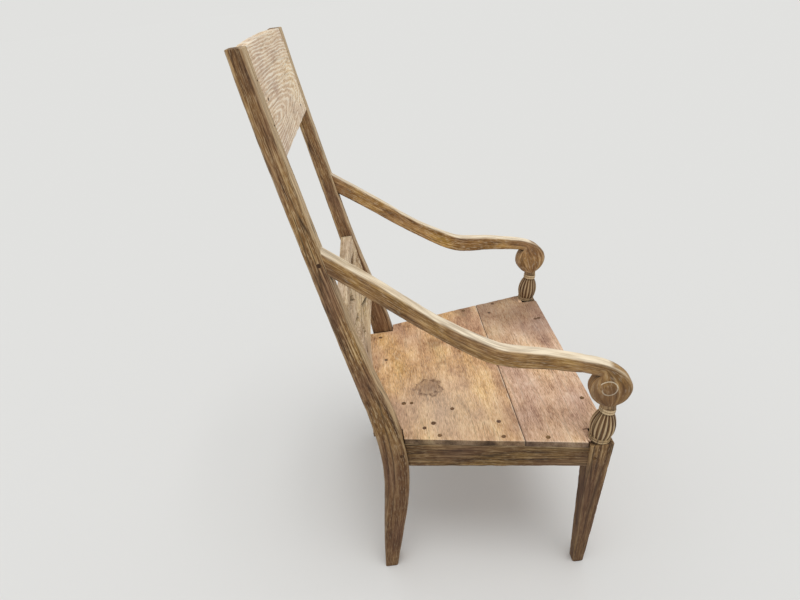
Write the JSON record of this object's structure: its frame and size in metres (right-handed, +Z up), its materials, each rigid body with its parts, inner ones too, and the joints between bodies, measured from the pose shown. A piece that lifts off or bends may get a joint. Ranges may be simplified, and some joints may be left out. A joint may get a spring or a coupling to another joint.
{
  "type": "carved armchair",
  "caption": "Low carved armchair in old limed teak with a plank seat, scroll-ended arms on fluted balusters, raked back posts, a plain crest board and a pierced splat.",
  "frame": {"origin": "on the floor, in the middle of the chair's outline", "axes": "+Z up, -Y the way the sitter faces, -X the sitter's right"},
  "size_m": [0.6074, 0.6025, 1.1325],
  "materials": {
    "old_teak_frame": "dry, weathered and limed",
    "golden_teak_arms": "dry, weathered and limed",
    "limed_teak_back": "dry, weathered and limed",
    "seat_teak": "dry, weathered and limed",
    "peg_teak": "dry, weathered and limed"
  },
  "bodies": {
    "root": {"right_back_post": "old_teak_frame", "left_back_post": "old_teak_frame", "right_front_leg": "old_teak_frame", "left_front_leg": "old_teak_frame", "right_armrest": "golden_teak_arms", "left_armrest": "golden_teak_arms", "right_side_rail": "old_teak_frame", "left_side_rail": "old_teak_frame", "front_rail": "old_teak_frame", "rear_rail": "old_teak_frame", "seat_bearer": "old_teak_frame", "front_seat_plank": "seat_teak", "rear_seat_plank": "seat_teak", "crest_board": "limed_teak_back", "back_splat": "limed_teak_back", "plank_dowels": "peg_teak", "seat_pegs": "peg_teak", "side_rail_pegs": "peg_teak", "front_rail_pegs": "peg_teak", "rear_rail_pegs": "peg_teak", "crest_pegs": "peg_teak", "splat_pegs": "peg_teak", "arm_pegs": "peg_teak"}
  },
  "joints": []
}
